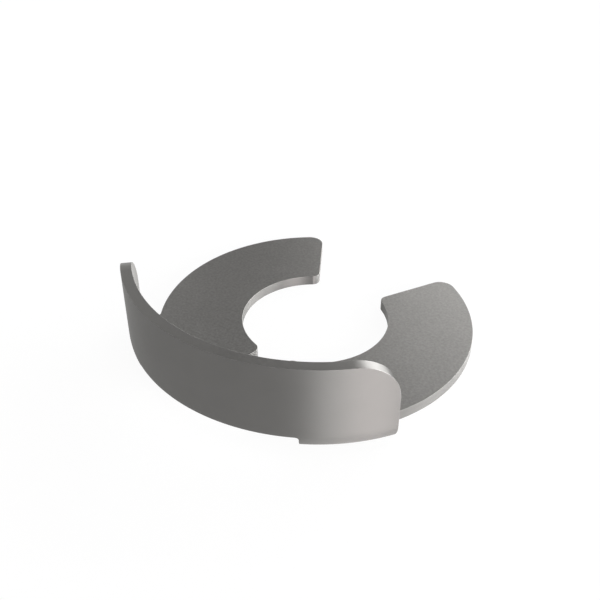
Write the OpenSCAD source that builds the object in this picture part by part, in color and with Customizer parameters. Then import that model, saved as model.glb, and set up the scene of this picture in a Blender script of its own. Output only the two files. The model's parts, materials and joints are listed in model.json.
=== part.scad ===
// External retaining ring, stamped and folded from one sheet of spring steel.
// Two flat jaws grip the groove of a shaft. A band that stands on edge behind
// them joins the jaws and springs them together. The Z axis is the shaft's
// axis, the mouth opens towards +Y and the jaws lie on the plane Z = 0.

/* [Jaws] */
// Thickness of the sheet
sheet_t = 1; // [0.6:0.05:1.4]
// Diameter of the hole, which grips the groove of the shaft
hole_d = 14.05; // [10:0.05:18]
// Outside diameter of the jaws
jaw_d = 30; // [26:0.1:40]
// Angle of the mouth, where the shaft goes in
mouth_angle = 60; // [40:1:80]
// Angle of the gap at the back, which parts the two jaws
gap_angle = 24; // [12:1:36]
// Rounding of the jaws' outer corners at the mouth
tip_r = 1.4; // [0.2:0.1:2.4]
// Rounding of the jaws' other corners, at the hole and at the gap
corner_r = 0.8; // [0.2:0.05:1.2]

/* [Spring band] */
// Height of the band's top edge above the plane that the jaws lie on
band_top = 8.93; // [7:0.01:14]
// Angle that the band's outer face spans around the back
band_angle = 110.8; // [90:0.1:140]
// Turn of the band's end faces, from pointing at the shaft's axis
band_end_turn = 9; // [0:0.5:15]
// Rounding of the band's two upper corners
band_corner_r = 3.85; // [1:0.05:4.5]
// Angle of the band's free middle stretch, between the two bends
free_angle = 58; // [40:0.5:70]
// Clear height between the jaws' top face and the band's free lower edge
free_lift = 0.94; // [0.4:0.02:2]

/* [Bends] */
// Inside radius of the bends that fold the band up from the jaws
bend_r = 1.28; // [0.6:0.02:2]
// Width of the flat strip between the jaws' rim and the bends
neck_w = 0.34; // [0.2:0.02:1]
// Rounding of the inner corners beside the bends
relief_r = 0.3; // [0.1:0.02:0.5]

/* [Hidden] */
$fn = 180;
steel_grey = "#8c8a86";

// How far cutting shapes run past the metal, and joined shapes into each other
over = 0.5;
over_angle = 1;

// Directions of the mouth's middle and of the band's middle
front = 90;
back = -90;

// Radii of the plan
hole_r = hole_d / 2;
jaw_r = jaw_d / 2;
bend_start_r = jaw_r + neck_w;
band_inner_r = bend_start_r + bend_r;
band_outer_r = band_inner_r + sheet_t;

// Heights of the folded section
bend_top = sheet_t + bend_r;
free_low = sheet_t + free_lift;

// Directions of the edges on the +X side
mouth_edge = front - mouth_angle / 2;
gap_edge = back + gap_angle / 2;
free_edge = back + free_angle / 2;
band_edge = back + band_angle / 2;
band_end_direction = band_edge - band_end_turn;

// How far the planes of the band's ends pass the shaft's axis
band_end_pass = band_outer_r * sin(band_end_turn);

// How far sweeps run past their ends, before those are cut to shape
sweep_over_angle = band_end_turn + over_angle;

// The inner corners on the flat strip end before the bends begin
rim_fillet_r = min(relief_r, neck_w);

function polar(r, angle) = [r * cos(angle), r * sin(angle)];

// Angle from a radial line to the centre of a circle that touches the line, for
// a circle of radius r with its centre at distance d from the axis
function touch_angle(r, d) = asin(r / d);

// The ring is the same on both sides of its middle plane
module both_sides() {
    children();
    mirror([1, 0, 0]) children();
}

// Wedge of the plan about one direction, reaching past the rim
module wedge(middle, angle) {
    reach = (jaw_r + over) / cos(angle / 2);
    polygon([[0, 0], polar(reach, middle - angle / 2), polar(reach, middle + angle / 2)]);
}

// Takes off, or puts back rounded, the corner of a jaw between a straight edge
// and a round one. inward is 1 where the jaw lies counterclockwise of the
// straight edge and -1 where it lies clockwise. outward is 1 for the jaw's rim
// and -1 for the hole.
module jaw_corner(edge, inward, round_edge_r, outward, r, part) {
    distance = round_edge_r - outward * r;
    direction = edge + inward * touch_angle(r, distance);
    centre = polar(distance, direction);
    across = polar(r + over, edge - inward * 90);
    beyond = polar(outward * (r + over), direction);
    if (part == "waste") polygon([centre, centre + across, centre + across + beyond, centre + beyond]);
    if (part == "disc") translate(centre) circle(r = r);
}

module jaw_corners(part) {
    both_sides() {
        jaw_corner(mouth_edge, -1, jaw_r, 1, tip_r, part);
        jaw_corner(mouth_edge, -1, hole_r, -1, corner_r, part);
        jaw_corner(gap_edge, 1, hole_r, -1, corner_r, part);
        jaw_corner(gap_edge, 1, jaw_r, 1, corner_r, part);
    }
}

// Fillet between the rim and one side of a bend's flat strip. That side runs in
// the given direction and passes the axis at the distance pass. away is 1 where
// the open side lies counterclockwise of it and -1 where it lies clockwise.
module rim_fillet(direction, away, pass) {
    distance = jaw_r + rim_fillet_r;
    across = pass + rim_fillet_r;
    along = sqrt(distance * distance - across * across);
    inside = jaw_r - over;
    rim_part = inside / distance;
    rotate([0, 0, direction]) difference() {
        polygon([
            [inside, away * (pass - over)],
            [along, away * (pass - over)],
            [along, away * across],
            [along * rim_part, away * across * rim_part]
        ]);
        translate([along, away * across]) circle(r = rim_fillet_r);
    }
}

// Flat outline of both jaws
module jaws_plan() {
    difference() {
        circle(r = jaw_r);
        circle(r = hole_r);
        wedge(front, mouth_angle);
        wedge(back, gap_angle);
        jaw_corners("waste");
    }
    jaw_corners("disc");
    both_sides() {
        rim_fillet(free_edge, -1, 0);
        rim_fillet(band_end_direction, 1, band_end_pass);
    }
}

// Section of the folded sheet, as radius and height: a flat strip that starts
// inside the jaw, the bend and the upright band, taller than its finished height
module folded_section() {
    translate([jaw_r - over, 0]) square([neck_w + over, sheet_t]);
    intersection() {
        translate([bend_start_r, bend_top]) difference() {
            circle(r = bend_r + sheet_t);
            circle(r = bend_r);
        }
        translate([bend_start_r, 0]) square([bend_r + sheet_t, bend_top]);
    }
    translate([band_inner_r, bend_top]) square([sheet_t, band_top - bend_top + over]);
}

// Sweeps a section about the shaft's axis, past the edges on both sides of the back
module sweep_past(edge) {
    far = edge + sweep_over_angle;
    rotate([0, 0, 2 * back - far]) rotate_extrude(angle = 2 * (far - back)) children();
}

// What lies on the inner side of an upright plane and below a height, with the
// upper corner rounded. The plane crosses the given edge at radius r and runs in
// the given direction.
module before_end(r, edge, direction, top, corner_r) {
    reach = 2 * band_outer_r;
    below = 2 * over;
    translate(polar(r, edge)) rotate([90, 0, direction + 90]) linear_extrude(2 * reach, center = true) {
        translate([-reach, -below]) square([reach - corner_r, top + below]);
        translate([-reach, -below]) square([reach, top - corner_r + below]);
        translate([-corner_r, top - corner_r]) circle(r = corner_r);
    }
}

// What lies between such a plane and its mirror image
module between_ends(r, edge, direction, top, corner_r) {
    intersection() {
        before_end(r, edge, direction, top, corner_r);
        mirror([1, 0, 0]) before_end(r, edge, direction, top, corner_r);
    }
}

// Space under the band's free middle stretch
module relief() {
    intersection() {
        sweep_past(free_edge) translate([jaw_r - 2 * over, -over]) {
            square([band_outer_r - jaw_r + 3 * over, free_low + 2 * over]);
        }
        between_ends(jaw_r, free_edge, free_edge, free_low, relief_r);
    }
}

// The upright band with the two bends that fold it up from the jaws
module flange() {
    difference() {
        intersection() {
            sweep_past(band_edge) folded_section();
            between_ends(band_outer_r, band_edge, band_end_direction, band_top, band_corner_r);
        }
        relief();
    }
}

module retaining_ring() {
    color(steel_grey) {
        linear_extrude(sheet_t) jaws_plan();
        flange();
    }
}

retaining_ring();
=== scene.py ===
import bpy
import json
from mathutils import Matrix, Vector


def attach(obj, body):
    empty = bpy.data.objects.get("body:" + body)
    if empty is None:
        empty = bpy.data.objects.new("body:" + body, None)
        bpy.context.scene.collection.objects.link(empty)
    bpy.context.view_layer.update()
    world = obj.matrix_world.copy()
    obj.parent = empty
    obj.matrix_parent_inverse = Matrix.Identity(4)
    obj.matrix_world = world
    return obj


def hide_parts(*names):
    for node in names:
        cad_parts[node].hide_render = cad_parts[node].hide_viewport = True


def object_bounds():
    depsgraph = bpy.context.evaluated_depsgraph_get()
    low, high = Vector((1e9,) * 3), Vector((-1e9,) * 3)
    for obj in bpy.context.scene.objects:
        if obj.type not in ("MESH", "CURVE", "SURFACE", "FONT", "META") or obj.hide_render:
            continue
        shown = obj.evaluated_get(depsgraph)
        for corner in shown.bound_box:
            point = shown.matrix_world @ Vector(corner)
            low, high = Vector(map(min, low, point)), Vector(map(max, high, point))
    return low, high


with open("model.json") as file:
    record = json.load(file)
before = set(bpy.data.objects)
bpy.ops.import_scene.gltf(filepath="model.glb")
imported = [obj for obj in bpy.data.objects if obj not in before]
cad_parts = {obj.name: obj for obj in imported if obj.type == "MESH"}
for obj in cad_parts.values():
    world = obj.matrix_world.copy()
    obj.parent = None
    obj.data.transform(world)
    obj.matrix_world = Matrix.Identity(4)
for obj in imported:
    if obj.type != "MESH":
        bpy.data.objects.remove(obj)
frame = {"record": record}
CAD_BOX = [list(corner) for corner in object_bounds()]

import json
import math

import bmesh
import bpy
from bpy.props import FloatProperty, FloatVectorProperty, PointerProperty
from mathutils import Vector

bl_info = {
    "name": "Retaining Ring",
    "version": (1, 0, 0),
    "blender": (4, 5, 0),
    "location": "3D View > Sidebar > Retaining Ring",
    "description": "Builds a folded spring steel retaining ring and its white studio",
    "category": "Object",
}

MM = 0.001
QUARTER = math.radians(90)
HALF = 2 * QUARTER
WHOLE = 4 * QUARTER
FRONT = math.radians(90)
BACK = math.radians(-90)
GRIP = next(m for m in frame["record"]["mounts"] if m["name"] == "groove_grip")["dims"]

# Faces along the ring's stretches
EDGE_STEPS = 3
BEND_ROWS = 12
RELIEF_ROWS = 6
WALL_ROWS = 14
CORNER_ROWS = 24
SIDE_COLUMNS = 24
FREE_COLUMNS = 48
ARC_STEP = math.radians(1.5)
ARC_STEPS_LEAST = 8

# Row and column numbers of the band's corners
RELIEF_TOP = BEND_ROWS + RELIEF_ROWS
BAND_TOP = RELIEF_TOP + WALL_ROWS + CORNER_ROWS
LEFT_SIDE = SIDE_COLUMNS
RIGHT_SIDE = SIDE_COLUMNS + FREE_COLUMNS
RIGHT_END = RIGHT_SIDE + SIDE_COLUMNS

# Marks on the mesh: the sheet's own faces, which keep the matt grain, and the broken edges, which are rubbed
# and painted brighter, partly as real wear and partly as a painted highlight that evens out their dark
# reflection
SKIN = "skin"
WEAR_AND_HIGHLIGHT = "edge_wear_and_highlight"

# Upward share of a face's normal over which the finish of the upright faces turns into that of the flats
FLAT_FROM, FLAT_TO = 0.5, 0.95
LEVEL_FROM, LEVEL_TO = 0.96, 0.995

# How far the grain and the clouds change the shade and the roughness around the noise's middle value,
# and what the matt faces add to the grain's contrast
NOISE_MIDDLE = 0.5
GRAIN_CONTRAST = 0.1
MATT_GRAIN_CONTRAST = 0.5
GRAIN_ROUGHNESS = 0.12
CLOUD_CONTRAST = 0.1

# Turn of the brushing's shine from the strip's length to across it, where 1 is a whole turn
ACROSS = 0.25

# Faces of the floor around and up its rim
FLOOR_SIDES = 96
COVE_STEPS = 16

# Softboxes around the ring: name, direction, width, bottom and top as seen from the ring in degrees,
# brightness where 1 is white, and colour
SOFTBOXES = (
    ("front_softbox", -48, 16, 0, 26, 7.9, "#ffffff"),
    ("front_right_softbox", -25, 30, 0, 26, 12.5, "#fff9f9"),
    ("right_softbox", 30, 68, 0, 20, 14.0, "#ffffff"),
    ("back_right_softbox", 89, 60, 0, 34, 5.75, "#ffffff"),
    ("back_left_softbox", 152, 36, 10, 38, 1.4, "#ffffff"),
)
SOFTBOX_DISTANCE = 0.6
OVERHEAD_SIZE = 0.42
OVERHEAD_BRIGHTNESS = 0.9

# Camera, with the lens and the sensor in millimetres
LENS = 50
SENSOR = 36
NEAREST = 1 * MM
FARTHEST = 20


def linear(hex_colour):
    """Linear red, green, blue and alpha of an sRGB hex colour."""
    parts = [int(hex_colour[i : i + 2], 16) / 255 for i in (1, 3, 5)]
    return tuple(p / 12.92 if p <= 0.04045 else ((p + 0.055) / 1.055) ** 2.4 for p in parts) + (1.0,)


WHITE = linear("#ffffff")


def length(name, description, default):
    """Property for a length in metres."""
    return FloatProperty(name=name, description=description, default=default, unit="LENGTH", precision=5)


def angle(name, description, degrees):
    """Property for an angle, whose default is given in degrees."""
    return FloatProperty(name=name, description=description, default=math.radians(degrees), subtype="ANGLE")


def share(name, description, default, most=1):
    """Property for a share of something, from nothing to the most."""
    return FloatProperty(
        name=name, description=description, default=default, subtype="FACTOR", min=0, max=most,
    )


def tint(name, description, hex_colour):
    """Property for a colour, whose default is given in sRGB hex."""
    return FloatVectorProperty(
        name=name, description=description, default=linear(hex_colour), subtype="COLOR", size=4, min=0, max=1,
    )


class RingSizes(bpy.types.PropertyGroup):
    """Sizes of the folded sheet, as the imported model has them"""

    sheet_t: length("Sheet", "Thickness of the sheet", GRIP["length_mm"] * MM)
    hole_d: length("Hole", "Diameter of the hole, which grips the groove of the shaft", 2 * GRIP["r_mm"] * MM)
    jaw_d: length("Jaws", "Outside diameter of the jaws", CAD_BOX[1][0] - CAD_BOX[0][0])
    mouth_angle: angle("Mouth", "Angle of the mouth, where the shaft goes in", 60)
    gap_angle: angle("Gap", "Angle of the gap at the back, which parts the two jaws", 24)
    tip_r: length("Tips", "Rounding of the jaws' outer corners at the mouth", 1.4 * MM)
    corner_r: length("Corners", "Rounding of the jaws' other corners, at the hole and at the gap", 0.8 * MM)
    band_top: length("Band top", "Height of the band's top edge", CAD_BOX[1][2])
    band_angle: angle("Band", "Angle that the band's outer face spans around the back", 110.8)
    band_end_turn: angle("Band ends", "Turn of the band's end faces, from pointing at the shaft's axis", 9)
    band_corner_r: length("Band corners", "Rounding of the band's two upper corners", 3.85 * MM)
    free_angle: angle("Free stretch", "Angle of the band's free middle stretch, between the two bends", 58)
    free_lift: length("Free lift", "Clear height between the jaws and the band's free lower edge", 0.94 * MM)
    bend_r: length("Bends", "Inside radius of the bends that fold the band up from the jaws", 1.28 * MM)
    neck_w: length("Necks", "Width of the flat strip between the jaws' rim and the bends", 0.34 * MM)
    relief_r: length("Reliefs", "Rounding of the inner corners beside the bends", 0.3 * MM)
    edge_r: length("Broken edges", "Rounding that tumbling leaves along every edge", 0.025 * MM)


class SteelFinish(bpy.types.PropertyGroup):
    """Colour and grain of the steel"""

    colour: tint("Steel", "Colour of the steel", "#7d7c7a")
    roughness: share("Roughness", "How matt the brushed faces are", 0.5)
    flat_roughness: share("Flats", "How matt the grained flat faces are", 0.4)
    brushing: share("Brushing", "How far the brushed band draws its shine out across the strip", 0.9)
    glancing: share(
        "Glancing shine", "Share of bare steel's glancing shine that the rubbed upright faces keep", 0.75,
    )
    flat_glancing: share(
        "Flats' shine", "Share of bare steel's glancing shine that the matt flat faces keep", 0.35,
    )
    # Brightening of the broken edges: partly real wear, partly a painted highlight that cancels their dark
    # reflection
    wear_and_highlight: share("Edge wear", "How much brighter the rubbed edges are", 0.35, most=2)
    cut_shade: share(
        "Sheared edges", "Shade of the sheared edges, where 1 is the shade of the sheet's faces", 0.92,
    )
    grain: length("Grain", "Width of the flat faces' grain", 0.24 * MM)
    grain_depth: length("Grain depth", "Depth of the flat faces' grain", 0.006 * MM)
    cloud: length("Clouding", "Width of the faint clouds in the finish", 3 * MM)


class StudioSetting(bpy.types.PropertyGroup):
    """Floor, light and camera"""

    floor_colour: tint("Floor", "Colour of the floor", "#fafafa")
    floor_white: share("White share", "Share of the floor's white that no shadow takes away", 0.935)
    floor_r: length("Floor radius", "Radius of the level floor", 0.8)
    cove_r: length("Cove", "Radius of the curve in which the floor's rim turns up into a low wall", 0.45)
    light_level: FloatProperty(name="Light", description="Level of the softboxes", default=1, min=0)
    room_level: FloatProperty(
        name="Room", description="Light of the dim room, where 1 is white", default=0.22, min=0,
    )
    camera_place: FloatVectorProperty(
        name="Camera", description="Where the camera stands",
        subtype="TRANSLATION", unit="LENGTH", precision=5,
        default=(35.315 * MM, -54.586 * MM, 48.452 * MM),
    )
    camera_turn: FloatVectorProperty(
        name="Camera turn", description="Where the camera looks", subtype="EULER", unit="ROTATION",
        default=(math.radians(55.003), 0.0, math.radians(34.204)),
    )


def heading(turn):
    """Level unit vector in a direction."""
    return Vector((math.cos(turn), math.sin(turn), 0))


def mirrored(point):
    """The same point on the ring's other side."""
    return Vector((-point.x, point.y, point.z))


def mirrored_turn(turn):
    """The same direction on the ring's other side."""
    return 2 * BACK - turn


def between(first, last, steps):
    """Evenly spaced values from first to last."""
    return [first + (last - first) * i / steps for i in range(steps + 1)]


class FoldedSheet:
    """Where each point of the folded sheet lies.

    A layer of the sheet has an inset, which is how far its outline stays inside the finished outline,
    and a depth through the sheet, from the underside and the band's outer face to the other side.
    """

    def __init__(self, sizes):
        self.sizes = sizes
        self.hole_r = sizes.hole_d / 2
        self.jaw_r = sizes.jaw_d / 2
        self.bend_start_r = self.jaw_r + sizes.neck_w
        self.band_outer_r = self.bend_start_r + sizes.bend_r + sizes.sheet_t
        self.bend_top = sizes.sheet_t + sizes.bend_r
        self.free_low = sizes.sheet_t + sizes.free_lift
        self.mouth_edge = FRONT - sizes.mouth_angle / 2
        self.gap_edge = BACK + sizes.gap_angle / 2
        self.free_edge = BACK + sizes.free_angle / 2
        self.end_direction = BACK + sizes.band_angle / 2 - sizes.band_end_turn
        self.end_pass = self.band_outer_r * math.sin(sizes.band_end_turn)

    def bend_at(self, depth):
        """Radius of the bend in a layer."""
        return self.sizes.bend_r + self.sizes.sheet_t - depth

    def radius(self, z, depth):
        """Distance from the shaft's axis at a height of the bend or the band."""
        below = max(self.bend_top - z, 0)
        return self.bend_start_r + math.sqrt(max(self.bend_at(depth) ** 2 - below**2, 0))

    def run(self, z, depth):
        """Length along the section from the start of the bend up to a height."""
        bend = self.bend_at(depth)
        if z >= self.bend_top:
            return bend * QUARTER + z - self.bend_top
        return bend * math.acos(min((self.bend_top - z) / bend, 1))

    def height(self, run, depth):
        """Height at a length along the section, from the start of the bend."""
        bend = self.bend_at(depth)
        if run >= bend * QUARTER:
            return self.bend_top + run - bend * QUARTER
        return self.bend_top - bend * math.cos(run / bend)

    def climb(self, low, high, steps, depth):
        """Heights from low to high, evenly spaced along the section."""
        runs = between(self.run(low, depth), self.run(high, depth), steps)
        return [self.height(run, depth) for run in runs]

    def rows(self, inset, depth):
        """Rows of the bend and the band from the flat up.

        The inner side of a row is the relief's edge, and above the relief a line inside the band. The outer
        side is the band's end. Each lies at a distance from a plane, which the rounded corners change.
        """
        s = self.sizes
        relief_start = self.free_low - s.relief_r
        corner_start = s.band_top - s.band_corner_r
        rows = [(z, inset, -inset) for z in self.climb(depth, relief_start, BEND_ROWS, depth)[:-1]]
        for turn in between(0, QUARTER, RELIEF_ROWS):
            r = s.relief_r + inset
            rows.append((relief_start + r * math.sin(turn), r * math.cos(turn) - s.relief_r, -inset))
        heights = self.climb(self.free_low + inset, corner_start, WALL_ROWS, depth)
        rows += [(z, -s.relief_r, -inset) for z in heights[1:-1]]
        for turn in between(0, QUARTER, CORNER_ROWS):
            r = s.band_corner_r - inset
            outer = r * math.cos(turn) - s.band_corner_r
            rows.append((corner_start + r * math.sin(turn), -s.relief_r, outer))
        return [self.row(z, inner, outer, depth) for z, inner, outer in rows]

    def row(self, z, inner, outer, depth):
        """Radius and height of a row, and the directions of its inner and its outer side."""
        r = self.radius(z, depth)
        start = self.free_edge + math.asin(inner / r)
        end = self.end_direction + math.asin((self.end_pass + outer) / r)
        return r, z, start, end

    def jaw_outline(self, inset, depth):
        """Outline of the right jaw from the relief by the gap, the hole and the mouth to the band's end."""
        s = self.sizes
        fillet_r = min(s.relief_r, s.neck_w)
        fillet_d = self.jaw_r + fillet_r
        relief_turn = self.free_edge - math.asin(fillet_r / fillet_d)
        end_turn = self.end_direction + math.asin((self.end_pass + fillet_r) / fillet_d)
        gap_out = self.gap_edge + math.asin(s.corner_r / (self.jaw_r - s.corner_r))
        gap_in = self.gap_edge + math.asin(s.corner_r / (self.hole_r + s.corner_r))
        mouth_in = self.mouth_edge - math.asin(s.corner_r / (self.hole_r + s.corner_r))
        mouth_out = self.mouth_edge - math.asin(s.tip_r / (self.jaw_r - s.tip_r))
        # Each arc has its centre's distance and direction, its radius, 1 where the metal is inside it or -1
        # where it is outside, and the directions from the centre between which it runs.
        arcs = (
            (fillet_d, relief_turn, fillet_r, -1, self.free_edge + QUARTER, relief_turn + HALF),
            (0, 0, self.jaw_r, 1, relief_turn, gap_out),
            (self.jaw_r - s.corner_r, gap_out, s.corner_r, 1, gap_out, self.gap_edge - QUARTER),
            (self.hole_r + s.corner_r, gap_in, s.corner_r, 1, self.gap_edge - QUARTER, gap_in - HALF),
            (0, 0, self.hole_r, -1, gap_in, mouth_in),
            (self.hole_r + s.corner_r, mouth_in, s.corner_r, 1, mouth_in + HALF, self.mouth_edge + QUARTER),
            (self.jaw_r - s.tip_r, mouth_out, s.tip_r, 1, self.mouth_edge + QUARTER, mouth_out),
            (0, 0, self.jaw_r, 1, mouth_out, end_turn),
            (fillet_d, end_turn, fillet_r, -1, end_turn + HALF, self.end_direction + HALF + QUARTER),
        )
        points = []
        for distance, direction, radius, side, start, end in arcs:
            steps = max(ARC_STEPS_LEAST, round(abs(end - start) / ARC_STEP))
            centre = distance * heading(direction)
            for turn in between(start, end, steps):
                points.append(centre + (radius - side * inset) * heading(turn) + Vector((0, 0, depth)))
        return points

    def layer(self, inset, depth):
        """Every point of a layer: the band's by row and column, the jaws' by side and number."""
        points = {}
        for k, (r, z, start, end) in enumerate(self.rows(inset, depth)):
            turns = between(mirrored_turn(end), mirrored_turn(start), SIDE_COLUMNS)
            turns += between(mirrored_turn(start), start, FREE_COLUMNS)[1:-1]
            turns += between(start, end, SIDE_COLUMNS)
            for c, turn in enumerate(turns):
                if k >= RELIEF_TOP or not LEFT_SIDE < c < RIGHT_SIDE:
                    points[k, c] = r * heading(turn) + Vector((0, 0, z))
        for i, point in enumerate(self.jaw_outline(inset, depth)):
            points["right", i] = point
            points["left", i] = mirrored(point)
        return points


def outline_keys(jaw, far_jaw):
    """The points along the ring's outline, once around."""
    keys = jaw + [(k, RIGHT_END) for k in range(BAND_TOP)]
    keys += [(BAND_TOP, c) for c in range(RIGHT_END, 0, -1)]
    keys += [(k, 0) for k in range(BAND_TOP, -1, -1)]
    keys += list(reversed(far_jaw)) + [(k, LEFT_SIDE) for k in range(RELIEF_TOP)]
    keys += [(RELIEF_TOP, c) for c in range(LEFT_SIDE, RIGHT_SIDE)]
    keys += [(k, RIGHT_SIDE) for k in range(RELIEF_TOP, -1, -1)]
    return keys


def leading_normals(bm):
    """Shading normals in which large faces lead, so that flat faces look flat up to their broken edges."""
    normals = []
    for vert in bm.verts:
        leading = sum((face.calc_area() / MM**2 * face.normal for face in vert.link_faces), Vector())
        normals.append(leading.normalized())
    return normals


def ring_mesh(sizes):
    """The ring as one closed mesh."""
    sheet = FoldedSheet(sizes)
    t, edge = sizes.sheet_t, sizes.edge_r
    turns = between(0, QUARTER, EDGE_STEPS)
    profile = [(edge * (1 - math.sin(a)), edge * (1 - math.cos(a))) for a in turns]
    profile += [(inset, t - depth) for inset, depth in reversed(profile)]
    layers = [sheet.layer(inset, depth) for inset, depth in profile]

    jaw = [key for key in layers[0] if key[0] == "right"]
    far_jaw = [("left", i) for _, i in jaw]
    outline = outline_keys(jaw, far_jaw)

    bm = bmesh.new()
    skins = (0, len(profile) - 1)
    made = []
    for i, points in enumerate(layers):
        keys = points if i in skins else outline
        made.append({key: bm.verts.new(points[key]) for key in keys})
    skin = bm.faces.layers.float.new(SKIN)
    # Broken edges get a mark for a brighter colour: real wear and a painted highlight over their dark
    # reflection
    edge_wear_and_highlight = bm.faces.layers.float.new(WEAR_AND_HIGHLIGHT)
    for i, (here, there) in enumerate(zip(made, made[1:])):
        for a, b in zip(outline, outline[1:] + outline[:1]):
            face = bm.faces.new((here[a], here[b], there[b], there[a]))
            face[edge_wear_and_highlight] = 0.0 if i == EDGE_STEPS else 1.0
    for i in skins:
        points = made[i]
        for k in range(BAND_TOP):
            for c in range(RIGHT_END):
                corners = [(k, c), (k, c + 1), (k + 1, c + 1), (k + 1, c)]
                if k >= RELIEF_TOP or not LEFT_SIDE <= c < RIGHT_SIDE:
                    bm.faces.new([points[key] for key in corners])[skin] = 1.0
        bend = [(0, c) for c in range(RIGHT_END, RIGHT_SIDE - 1, -1)]
        far_bend = [(0, c) for c in range(LEFT_SIDE + 1)]
        bm.faces.new([points[key] for key in jaw + bend])[skin] = 1.0
        bm.faces.new([points[key] for key in far_jaw + far_bend])[skin] = 1.0
    bmesh.ops.recalc_face_normals(bm, faces=bm.faces)
    normals = leading_normals(bm)
    mesh = bpy.data.meshes.new("retaining_ring_steel")
    bm.to_mesh(mesh)
    bm.free()
    mesh.shade_smooth()
    mesh.normals_split_custom_set_from_vertices(normals)
    return mesh


def add_node(tree, kind, sockets=None, **settings):
    """Adds a node with its settings. A socket is given a value, or the output socket that feeds it."""
    node = tree.nodes.new(kind)
    for name, value in settings.items():
        setattr(node, name, value)
    for name, value in (sockets or {}).items():
        if isinstance(value, bpy.types.NodeSocket):
            tree.links.new(value, node.inputs[name])
        else:
            node.inputs[name].default_value = value
    return node


def new_material(name):
    """A material whose node tree is still empty."""
    material = bpy.data.materials.new(name)
    material.use_nodes = True
    material.node_tree.nodes.clear()
    return material


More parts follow.
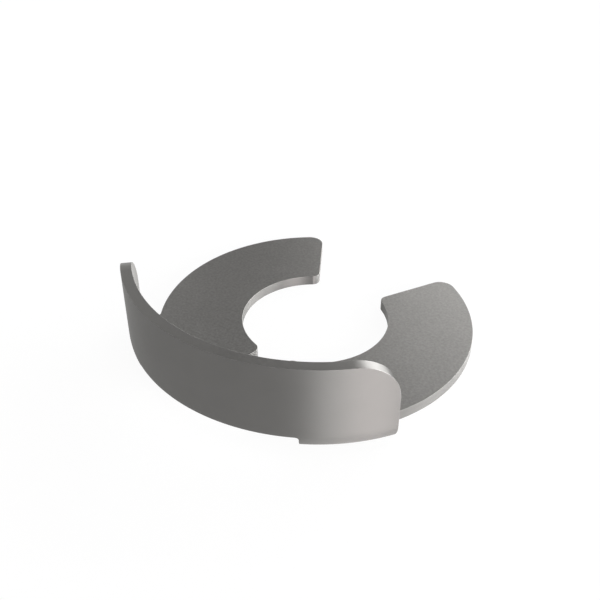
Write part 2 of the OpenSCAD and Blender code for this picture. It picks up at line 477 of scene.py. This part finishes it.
def satin_spring_steel(finish):
    """Carbon spring steel strip, blanked, folded, phosphated and tumbled.

    The thin phosphate coat makes the steel a dark warm grey. It keeps a fine matt grain on the level faces.
    Tumbling rubs the upright faces along the strip, which draws their soft shine out up and down, and
    brightens the edges. That brightening is partly real wear and partly a painted highlight that evens out
    the dark reflection of the rounded edges.
    """
    material = new_material("satin_spring_steel")
    tree = material.node_tree
    place = add_node(tree, "ShaderNodeTexCoord").outputs["Object"]
    normal = add_node(tree, "ShaderNodeNewGeometry").outputs["Normal"]
    rise = add_node(tree, "ShaderNodeSeparateXYZ", {0: normal}).outputs["Z"]
    flat = add_node(
        tree, "ShaderNodeMapRange", {"Value": rise, "From Min": FLAT_FROM, "From Max": FLAT_TO},
        interpolation_type="SMOOTHSTEP",
    ).outputs["Result"]
    level = add_node(
        tree, "ShaderNodeMapRange", {"Value": rise, "From Min": LEVEL_FROM, "From Max": LEVEL_TO},
        interpolation_type="SMOOTHSTEP",
    ).outputs["Result"]
    skin = add_node(tree, "ShaderNodeAttribute", attribute_name=SKIN).outputs["Fac"]
    edge_wear_and_highlight = add_node(tree, "ShaderNodeAttribute", attribute_name=WEAR_AND_HIGHLIGHT).outputs["Fac"]
    matt = add_node(tree, "ShaderNodeMath", {0: flat, 1: skin}, operation="MULTIPLY").outputs["Value"]
    # The coat's crystals are about 0.01 mm wide, which is too fine to show, so the grain is drawn coarser.
    grain = add_node(
        tree, "ShaderNodeTexNoise",
        {"Vector": place, "Scale": 1 / finish.grain, "Detail": 2, "Roughness": 0.6},
    ).outputs["Fac"]
    cloud = add_node(
        tree, "ShaderNodeTexNoise",
        {"Vector": place, "Scale": 1 / finish.cloud, "Detail": 2, "Roughness": 0.5},
    ).outputs["Fac"]

    # Shade: the matt faces' grain, the clouds, the rubbed edges with their painted highlight, and the sheared
    # edges
    contrast = add_node(
        tree, "ShaderNodeMath", {0: matt, 1: MATT_GRAIN_CONTRAST, 2: GRAIN_CONTRAST},
        operation="MULTIPLY_ADD",
    ).outputs["Value"]
    speck = add_node(
        tree, "ShaderNodeMath", {0: grain, 1: NOISE_MIDDLE}, operation="SUBTRACT",
    ).outputs["Value"]
    shade = add_node(
        tree, "ShaderNodeMath", {0: speck, 1: contrast, 2: 1.0}, operation="MULTIPLY_ADD",
    ).outputs["Value"]
    clouded = add_node(
        tree, "ShaderNodeMath",
        {0: cloud, 1: CLOUD_CONTRAST, 2: 1 - CLOUD_CONTRAST * NOISE_MIDDLE}, operation="MULTIPLY_ADD",
    ).outputs["Value"]
    # Rubbed edges painted brighter: real wear, and a painted highlight that cancels the rounded edges' dark
    # reflection
    rubbed = add_node(
        tree, "ShaderNodeMath", {0: edge_wear_and_highlight, 1: finish.wear_and_highlight, 2: clouded}, operation="MULTIPLY_ADD",
    ).outputs["Value"]
    cut = add_node(
        tree, "ShaderNodeMath", {0: skin, 1: 1 - finish.cut_shade, 2: finish.cut_shade},
        operation="MULTIPLY_ADD",
    ).outputs["Value"]
    edged = add_node(tree, "ShaderNodeMath", {0: rubbed, 1: cut}, operation="MULTIPLY").outputs["Value"]
    tone = add_node(tree, "ShaderNodeMath", {0: shade, 1: edged}, operation="MULTIPLY").outputs["Value"]
    colour = add_node(
        tree, "ShaderNodeVectorMath", {0: finish.colour[:3], "Scale": tone}, operation="SCALE",
    ).outputs["Vector"]

    # Shine: from the rubbed upright faces to the matt flat ones
    shine = add_node(
        tree, "ShaderNodeMath", {0: level, 1: finish.flat_glancing - finish.glancing, 2: finish.glancing},
        operation="MULTIPLY_ADD",
    ).outputs["Value"]
    smooth = add_node(
        tree, "ShaderNodeMath", {0: flat, 1: finish.flat_roughness - finish.roughness, 2: finish.roughness},
        operation="MULTIPLY_ADD",
    ).outputs["Value"]
    rough = add_node(
        tree, "ShaderNodeMath", {0: speck, 1: GRAIN_ROUGHNESS, 2: smooth}, operation="MULTIPLY_ADD",
    ).outputs["Value"]
    drawn = add_node(
        tree, "ShaderNodeMath", {0: flat, 1: -finish.brushing, 2: finish.brushing}, operation="MULTIPLY_ADD",
    ).outputs["Value"]
    pitted = add_node(tree, "ShaderNodeMath", {0: grain, 1: matt}, operation="MULTIPLY").outputs["Value"]
    relief = add_node(
        tree, "ShaderNodeBump", {"Strength": 1.0, "Distance": finish.grain_depth, "Height": pitted},
    ).outputs["Normal"]
    around = add_node(tree, "ShaderNodeTangent", direction_type="RADIAL", axis="Z").outputs["Tangent"]
    steel = add_node(
        tree, "ShaderNodeBsdfPrincipled",
        {
            "Base Color": colour, "Metallic": 1.0, "Roughness": rough, "Specular Tint": shine,
            "Anisotropic": drawn, "Anisotropic Rotation": ACROSS, "Tangent": around, "Normal": relief,
        },
    )
    add_node(tree, "ShaderNodeOutputMaterial", {"Surface": steel.outputs["BSDF"]})
    return material


class RETAININGRING_OT_fold_ring(bpy.types.Operator):
    """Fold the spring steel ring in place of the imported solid"""

    bl_idname = "retaining_ring.fold_ring"
    bl_label = "Fold the Ring"
    bl_options = {"REGISTER", "UNDO"}

    def execute(self, context):
        scene = context.scene
        ring = bpy.data.objects.new("ring_of_spring_steel", ring_mesh(scene.ring_sizes))
        scene.collection.objects.link(ring)
        ring.data.materials.append(satin_spring_steel(scene.steel_finish))
        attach(ring, "root")
        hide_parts("retaining_ring")
        return {"FINISHED"}


def floor_mesh(studio):
    """Round floor whose rim curves up into a low wall, so that low views have a white background too."""
    bm = bmesh.new()
    turns = between(0, WHOLE, FLOOR_SIDES)[:-1]
    rings = []
    for rise in between(0, QUARTER, COVE_STEPS):
        r = studio.floor_r + studio.cove_r * math.sin(rise)
        z = studio.cove_r * (1 - math.cos(rise))
        rings.append([bm.verts.new(r * heading(turn) + Vector((0, 0, z))) for turn in turns])
    bm.faces.new(rings[0])
    for low, high in zip(rings, rings[1:]):
        for i in range(FLOOR_SIDES):
            bm.faces.new((low[i], low[i - 1], high[i - 1], high[i]))
    mesh = bpy.data.meshes.new("floor")
    bm.to_mesh(mesh)
    bm.free()
    mesh.shade_smooth()
    return mesh


def white_card(studio):
    """White matt card. The lit card takes the ring's shadow, and the rest of its white is even."""
    material = new_material("white_card")
    tree = material.node_tree
    path = add_node(tree, "ShaderNodeLightPath").outputs
    seen = add_node(
        tree, "ShaderNodeMath", {0: path["Is Camera Ray"], 1: path["Is Glossy Ray"]}, operation="ADD",
    ).outputs["Value"]
    shown = add_node(
        tree, "ShaderNodeMath", {0: seen, 1: path["Is Transmission Ray"]}, operation="ADD", use_clamp=True,
    ).outputs["Value"]
    even = add_node(
        tree, "ShaderNodeMath", {0: shown, 1: studio.floor_white}, operation="MULTIPLY",
    ).outputs["Value"]
    card = add_node(tree, "ShaderNodeBsdfDiffuse", {"Color": studio.floor_colour}).outputs["BSDF"]
    white = add_node(tree, "ShaderNodeEmission", {"Color": WHITE, "Strength": 1.0}).outputs["Emission"]
    mixed = add_node(tree, "ShaderNodeMixShader", {0: even, 1: card, 2: white}).outputs["Shader"]
    add_node(tree, "ShaderNodeOutputMaterial", {"Surface": mixed})
    return material


def add_softbox(scene, name, place, turn, size, brightness, colour="#ffffff"):
    """A soft rectangular light of a width and a height."""
    lamp = bpy.data.lights.new(name, "AREA")
    lamp.shape = "RECTANGLE"
    lamp.size, lamp.size_y = size
    lamp.energy = brightness * math.pi * lamp.size * lamp.size_y
    lamp.color = linear(colour)[:3]
    light = bpy.data.objects.new(name, lamp)
    light.location = place
    light.rotation_euler = turn
    scene.collection.objects.link(light)


def add_softboxes(scene, level):
    """The upright softboxes, which face the ring from around it, and a level one above it."""
    for name, direction, width, bottom, top, brightness, colour in SOFTBOXES:
        turn = math.radians(direction)
        low, high = (SOFTBOX_DISTANCE * math.tan(math.radians(rise)) for rise in (bottom, top))
        size = (2 * SOFTBOX_DISTANCE * math.tan(math.radians(width / 2)), high - low)
        place = SOFTBOX_DISTANCE * heading(turn) + Vector((0, 0, (low + high) / 2))
        add_softbox(scene, name, place, (QUARTER, 0, turn + QUARTER), size, level * brightness, colour)
    add_softbox(
        scene, "overhead_softbox", (0, 0, SOFTBOX_DISTANCE), (0, 0, 0), (OVERHEAD_SIZE, OVERHEAD_SIZE),
        level * OVERHEAD_BRIGHTNESS,
    )


def dim_room(level):
    """World that lights the ring a little from everywhere."""
    world = bpy.data.worlds.new("dim_room")
    world.use_nodes = True
    tree = world.node_tree
    tree.nodes.clear()
    room = add_node(tree, "ShaderNodeBackground", {"Color": WHITE, "Strength": level})
    add_node(tree, "ShaderNodeOutputWorld", {"Surface": room.outputs["Background"]})
    return world


def add_camera(scene, studio):
    """The scene's camera, which keeps everything in focus."""
    lens = bpy.data.cameras.new("camera")
    lens.lens = LENS
    lens.sensor_width = SENSOR
    lens.clip_start = NEAREST
    lens.clip_end = FARTHEST
    camera = bpy.data.objects.new("camera", lens)
    camera.location = studio.camera_place
    camera.rotation_euler = studio.camera_turn
    scene.collection.objects.link(camera)
    scene.camera = camera


class RETAININGRING_OT_set_studio(bpy.types.Operator):
    """Set the floor, the lights and the camera"""

    bl_idname = "retaining_ring.set_studio"
    bl_label = "Set the Studio"
    bl_options = {"REGISTER", "UNDO"}

    def execute(self, context):
        scene = context.scene
        studio = scene.ring_studio
        floor = bpy.data.objects.new("floor", floor_mesh(studio))
        floor.data.materials.append(white_card(studio))
        scene.collection.objects.link(floor)
        add_softboxes(scene, studio.light_level)
        scene.world = dim_room(studio.room_level)
        add_camera(scene, studio)
        scene.view_settings.view_transform = "Standard"
        return {"FINISHED"}


class VIEW3D_PT_retaining_ring(bpy.types.Panel):
    """Sizes, finish and studio of the retaining ring"""

    bl_label = "Retaining Ring"
    bl_space_type = "VIEW_3D"
    bl_region_type = "UI"
    bl_category = "Retaining Ring"

    def draw(self, context):
        scene = context.scene
        steps = (
            (scene.ring_sizes, None),
            (scene.steel_finish, RETAININGRING_OT_fold_ring),
            (scene.ring_studio, RETAININGRING_OT_set_studio),
        )
        for group, step in steps:
            box = self.layout.box()
            for name in group.__annotations__:
                box.prop(group, name)
            if step:
                box.operator(step.bl_idname)


CLASSES = (
    RingSizes,
    SteelFinish,
    StudioSetting,
    RETAININGRING_OT_fold_ring,
    RETAININGRING_OT_set_studio,
    VIEW3D_PT_retaining_ring,
)


def register():
    for kind in CLASSES:
        bpy.utils.register_class(kind)
    bpy.types.Scene.ring_sizes = PointerProperty(type=RingSizes)
    bpy.types.Scene.steel_finish = PointerProperty(type=SteelFinish)
    bpy.types.Scene.ring_studio = PointerProperty(type=StudioSetting)


def unregister():
    del bpy.types.Scene.ring_studio
    del bpy.types.Scene.steel_finish
    del bpy.types.Scene.ring_sizes
    for kind in reversed(CLASSES):
        bpy.utils.unregister_class(kind)


def main():
    register()
    bpy.ops.retaining_ring.fold_ring()
    bpy.ops.retaining_ring.set_studio()


if __name__ == "__main__":
    main()
